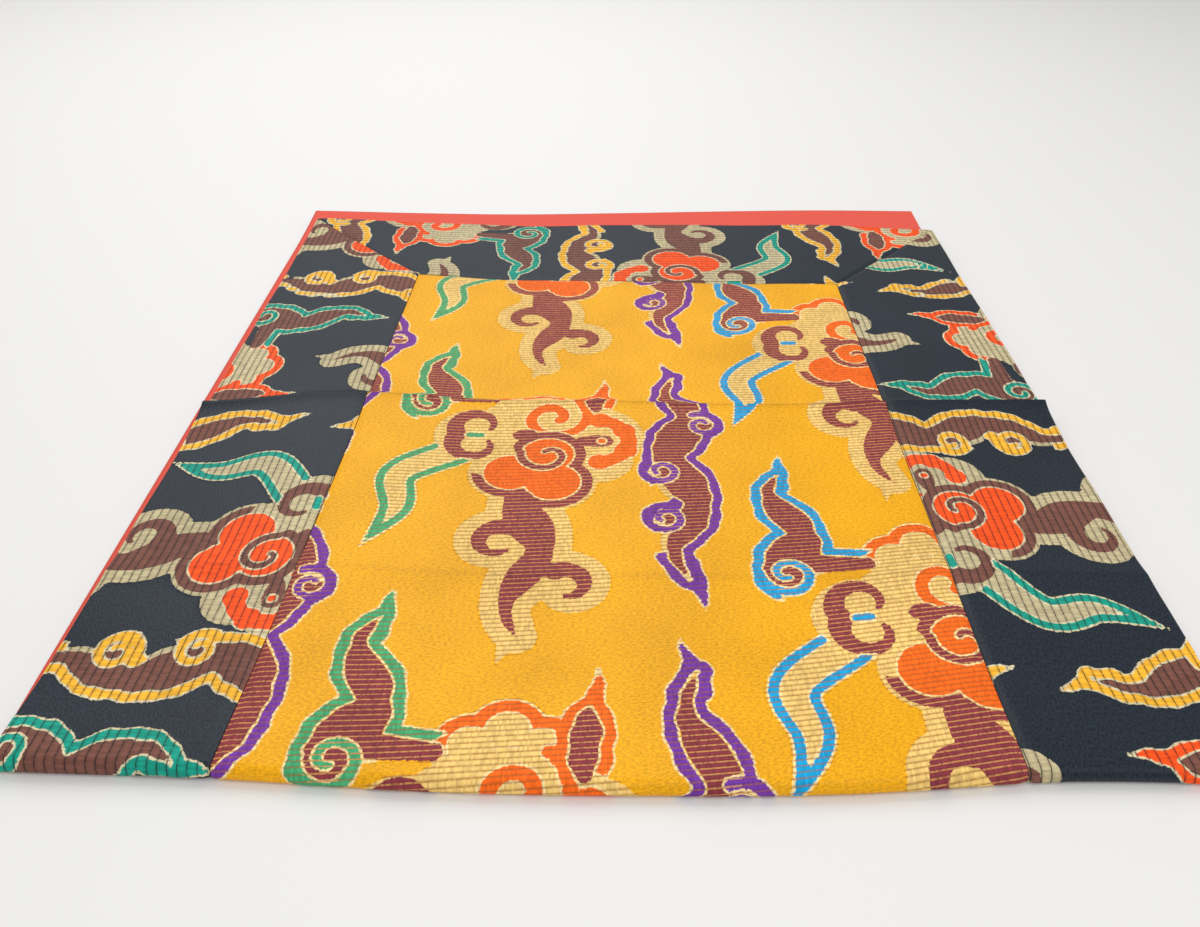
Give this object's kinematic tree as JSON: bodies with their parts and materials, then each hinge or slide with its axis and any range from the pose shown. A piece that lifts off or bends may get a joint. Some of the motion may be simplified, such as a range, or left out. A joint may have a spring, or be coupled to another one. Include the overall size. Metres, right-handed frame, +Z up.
{
  "type": "lined brocade table cloth, folded once",
  "caption": "Lined brocade cloth with a cloud-patterned panel, mitred contrasting borders and a plain lining, folded once across and lying flat, for dressing a table or shrine.",
  "frame": {"origin": "under the middle of the folded cloth, on the surface that it lies on", "axes": "+X across the cloth to its right edge, +Y from the fold to the two ends, +Z up"},
  "size_m": [0.465, 0.5244, 0.0097],
  "materials": {
    "yellow_brocade": "golden yellow satin ground with raised cloud and flame figures in coloured floating wefts",
    "black_brocade": "blue-black satin ground with raised cloud and flame figures in coloured floating wefts",
    "red_lining": "plain weave, dull"
  },
  "bodies": {
    "root": {"center_panel": "yellow_brocade", "border_left": "black_brocade", "border_right": "black_brocade", "border_upper_end": "black_brocade", "border_lower_end": "black_brocade", "lining": "red_lining"}
  },
  "joints": []
}
